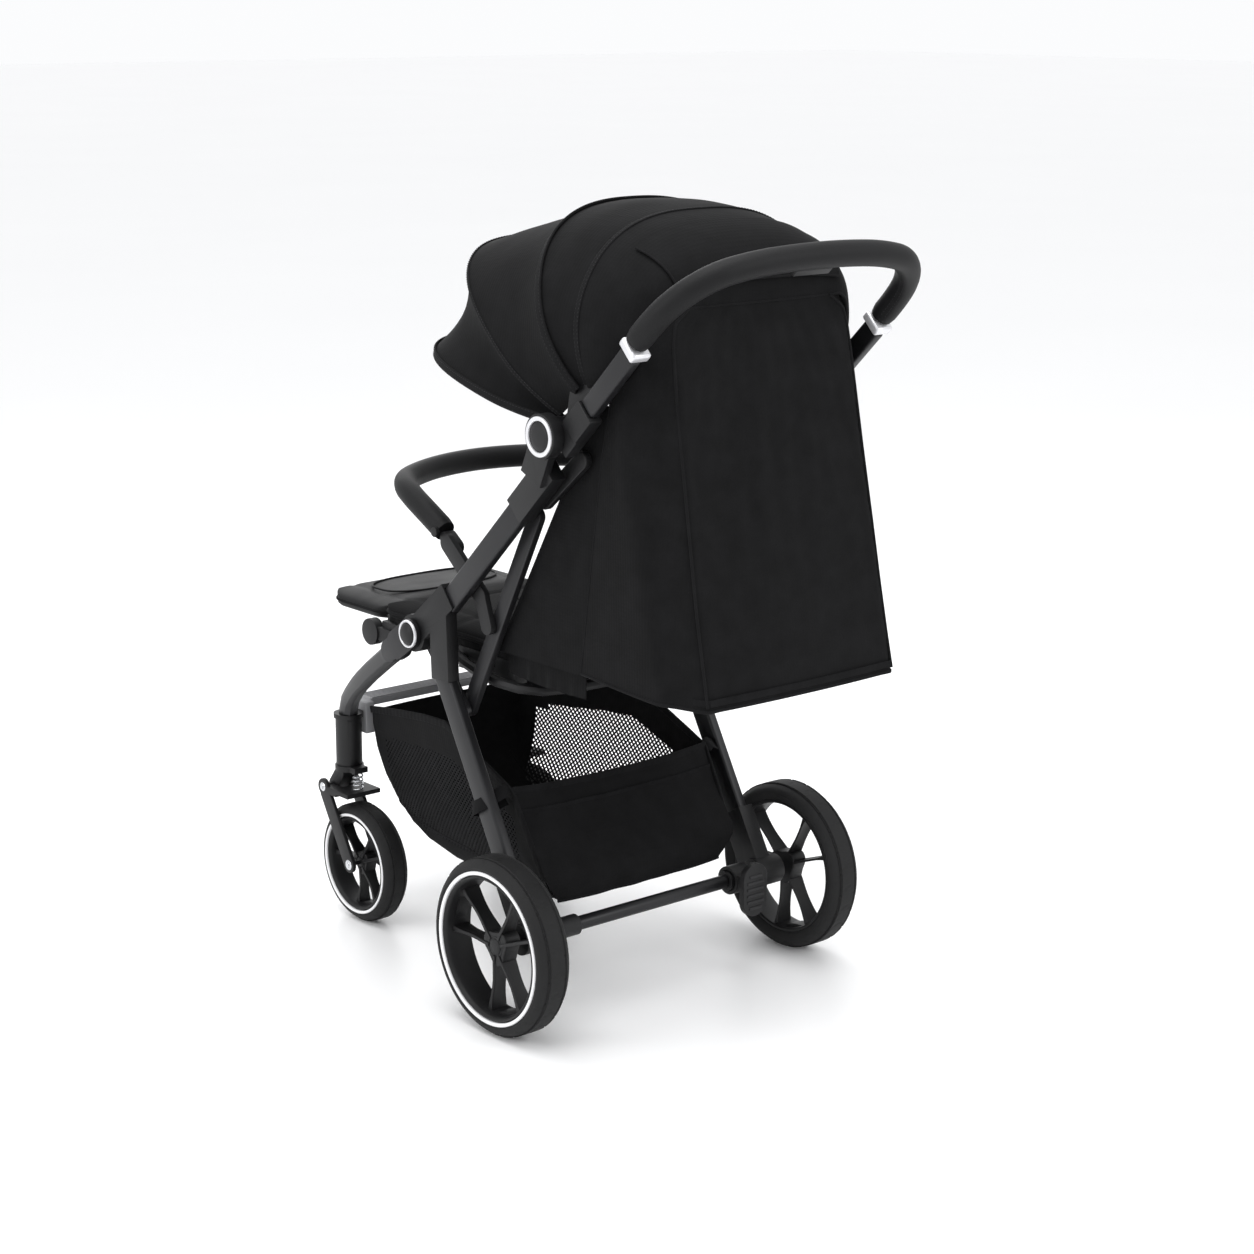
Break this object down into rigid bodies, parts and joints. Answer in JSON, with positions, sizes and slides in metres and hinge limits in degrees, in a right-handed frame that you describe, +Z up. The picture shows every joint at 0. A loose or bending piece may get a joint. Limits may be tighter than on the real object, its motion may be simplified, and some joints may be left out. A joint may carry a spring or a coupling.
{
  "type": "baby stroller",
  "caption": "Folding baby stroller with lie-flat seat, extendable hood, bumper bar, brake pedal, swivel front wheels and an under-seat basket.",
  "frame": {"origin": "on the floor under the middle of the stroller's bounding box", "axes": "+Z up, +X to the stroller's left, -Y to its front, where the small swivel wheels are"},
  "size_m": [0.594, 0.9402, 1.1137],
  "materials": {
    "anodised_tube": "satin anodised, dark grey",
    "black_plastic": "fine moulded grain",
    "tyre_rubber": "matte foam rubber with slanted tread",
    "woven_fabric": "matte plain weave polyester",
    "mesh_fabric": "woven polyester with mesh windows",
    "leatherette": "semi-gloss grained leatherette with stitching",
    "polished_metal": "bright silver",
    "spring_steel": "bright zinc",
    "grey_tread": "ribbed light grey tread"
  },
  "bodies": {
    "frame": {"rear_leg_left": "anodised_tube", "rear_leg_right": "anodised_tube", "main_tube_left": "anodised_tube", "main_tube_right": "anodised_tube", "lower_hinge_left": "black_plastic", "lower_hinge_right": "black_plastic", "upper_hinge_left": "black_plastic", "upper_hinge_right": "black_plastic", "rear_crossbar": "anodised_tube", "rear_axle_housing_left": "black_plastic", "rear_axle_housing_right": "black_plastic", "bumper_bracket_left": "black_plastic", "bumper_bracket_right": "black_plastic", "seat_base": "black_plastic", "seat_pad": "woven_fabric", "harness_buckle": "black_plastic", "back_cover": "woven_fabric", "basket": "mesh_fabric"},
    "rear_wheel_left": {"rear_tyre_left": "tyre_rubber", "rear_rim_left": "black_plastic"},
    "rear_wheel_right": {"rear_tyre_right": "tyre_rubber", "rear_rim_right": "black_plastic"},
    "brake": {"brake_pedal": "black_plastic"},
    "handle": {"handle_joint_left": "black_plastic", "handle_joint_right": "black_plastic", "handle_tube_left": "anodised_tube", "handle_tube_right": "anodised_tube", "handle_collar_left": "polished_metal", "handle_collar_right": "polished_metal", "handle_grip": "leatherette", "hood_rear": "woven_fabric"},
    "release": {"release_lever": "black_plastic"},
    "front_frame": {"front_leg_left": "anodised_tube", "front_leg_right": "anodised_tube", "front_sleeve_left": "black_plastic", "front_sleeve_right": "black_plastic", "footboard": "grey_tread"},
    "fold_links": {"fold_link_left": "anodised_tube", "fold_link_right": "anodised_tube"},
    "fold_levers": {"fold_lever_left": "black_plastic", "fold_lever_right": "black_plastic"},
    "caster_left": {"caster_housing_left": "black_plastic", "caster_spring_left": "spring_steel"},
    "caster_right": {"caster_housing_right": "black_plastic", "caster_spring_right": "spring_steel"},
    "fork_left": {"caster_fork_left": "black_plastic"},
    "fork_right": {"caster_fork_right": "black_plastic"},
    "front_wheel_left": {"front_tyre_left": "tyre_rubber", "front_rim_left": "black_plastic"},
    "front_wheel_right": {"front_tyre_right": "tyre_rubber", "front_rim_right": "black_plastic"},
    "backrest": {"backrest_board": "black_plastic", "backrest_pad": "woven_fabric"},
    "foot_support": {"footrest": "leatherette"},
    "hood_rear_bow": {"hood_middle": "woven_fabric"},
    "hood_front_bow": {"hood_front": "woven_fabric"},
    "hood_visor": {"hood_brim": "woven_fabric"},
    "bumper": {"bumper_bar": "leatherette"},
    "button_left": {"bumper_button_left": "black_plastic"},
    "button_right": {"bumper_button_right": "black_plastic"}
  },
  "joints": [
    {"name": "rear_wheel_spin_left", "type": "hinge", "parent": "frame", "child": "rear_wheel_left", "pos_m": [0.27, 0.1319, 0.125], "axis": [1, 0, 0], "continuous": true},
    {"name": "caster_swivel_left", "type": "hinge", "parent": "front_frame", "child": "caster_left", "pos_m": [0.16, -0.3931, 0.24], "axis": [0, 0, 1], "continuous": true},
    {"name": "suspension_left", "type": "hinge", "parent": "caster_left", "child": "fork_left", "pos_m": [0.16, -0.4231, 0.201], "axis": [1, 0, 0], "range_deg": [0, 8], "stiffness_Nm_per_rad": 25, "springref_deg": -14.32, "deforming": ["caster_spring_left"]},
    {"name": "front_wheel_spin_left", "type": "hinge", "parent": "fork_left", "child": "front_wheel_left", "pos_m": [0.1595, -0.3571, 0.092], "axis": [1, 0, 0], "continuous": true},
    {"name": "rear_wheel_spin_right", "type": "hinge", "parent": "frame", "child": "rear_wheel_right", "pos_m": [-0.27, 0.1319, 0.125], "axis": [1, 0, 0], "continuous": true},
    {"name": "caster_swivel_right", "type": "hinge", "parent": "front_frame", "child": "caster_right", "pos_m": [-0.16, -0.3931, 0.24], "axis": [0, 0, 1], "continuous": true},
    {"name": "suspension_right", "type": "hinge", "parent": "caster_right", "child": "fork_right", "pos_m": [-0.16, -0.4231, 0.201], "axis": [1, 0, 0], "range_deg": [0, 8], "stiffness_Nm_per_rad": 25, "springref_deg": -14.32, "deforming": ["caster_spring_right"]},
    {"name": "front_wheel_spin_right", "type": "hinge", "parent": "fork_right", "child": "front_wheel_right", "pos_m": [-0.1595, -0.3571, 0.092], "axis": [1, 0, 0], "continuous": true},
    {"name": "brake_tilt", "type": "hinge", "parent": "frame", "child": "brake", "pos_m": [-0.155, 0.1319, 0.125], "axis": [1, 0, 0], "range_deg": [-16, 0]},
    {"name": "handle_fold", "type": "hinge", "parent": "frame", "child": "handle", "pos_m": [0, 0.1819, 0.829], "axis": [1, 0, 0], "range_deg": [0, 140], "deforming": ["back_cover", "hood_rear", "basket"]},
    {"name": "front_leg_fold", "type": "hinge", "parent": "frame", "child": "front_frame", "pos_m": [0, -0.1281, 0.506], "axis": [1, 0, 0], "range_deg": [0, 38]},
    {"name": "link_turn", "type": "hinge", "parent": "front_frame", "child": "fold_links", "pos_m": [0, -0.0401, 0.41], "axis": [1, 0, 0], "range_deg": [-49, 0]},
    {"name": "lever_turn", "type": "hinge", "parent": "handle", "child": "fold_levers", "pos_m": [0, 0.2119, 0.797], "axis": [1, 0, 0], "range_deg": [-72, 0]},
    {"name": "release_squeeze", "type": "slide", "parent": "handle", "child": "release", "axis": [0, 0.7169, 0.6972], "range_m": [0, 0.0038], "stiffness_N_per_m": 600, "springref_m": -0.004},
    {"name": "recline", "type": "hinge", "parent": "frame", "child": "backrest", "pos_m": [0, 0.0729, 0.506], "axis": [1, 0, 0], "range_deg": [0, 60], "deforming": ["seat_pad", "backrest_pad"]},
    {"name": "footrest_tilt", "type": "hinge", "parent": "frame", "child": "foot_support", "pos_m": [0, -0.3201, 0.462], "axis": [1, 0, 0], "range_deg": [0, 65]},
    {"name": "hood_fold", "type": "hinge", "parent": "handle", "child": "hood_rear_bow", "pos_m": [0, 0.2069, 0.85], "axis": [1, 0, 0], "range_deg": [-24, 0], "deforming": ["hood_middle", "hood_front", "hood_brim"]},
    {"name": "hood_front_fold", "type": "hinge", "parent": "hood_rear_bow", "child": "hood_front_bow", "pos_m": [0, 0.2069, 0.85], "axis": [1, 0, 0], "range_deg": [-21, 0]},
    {"name": "hood_visor_fold", "type": "hinge", "parent": "hood_front_bow", "child": "hood_visor", "pos_m": [0, 0.2069, 0.85], "axis": [1, 0, 0], "range_deg": [-17, 0]},
    {"name": "bumper_pull", "type": "slide", "parent": "frame", "child": "bumper", "axis": [0, -0.824, 0.5665], "range_m": [0, 0.06]},
    {"name": "button_press_left", "type": "slide", "parent": "bumper", "child": "button_left", "axis": [-1, 0, 0], "range_m": [0, 0.002], "stiffness_N_per_m": 700, "springref_m": -0.002},
    {"name": "button_press_right", "type": "slide", "parent": "bumper", "child": "button_right", "axis": [1, 0, 0], "range_m": [0, 0.002], "stiffness_N_per_m": 700, "springref_m": -0.002}
  ],
  "couplings": [
    {"joint": "front_leg_fold", "follows": "handle_fold", "ratio": 0.27143},
    {"joint": "link_turn", "follows": "handle_fold", "ratio": -0.34714},
    {"joint": "lever_turn", "follows": "handle_fold", "ratio": -0.51},
    {"joint": "hood_front_fold", "follows": "hood_fold", "ratio": 0.83333},
    {"joint": "hood_visor_fold", "follows": "hood_fold", "ratio": 0.66667}
  ]
}
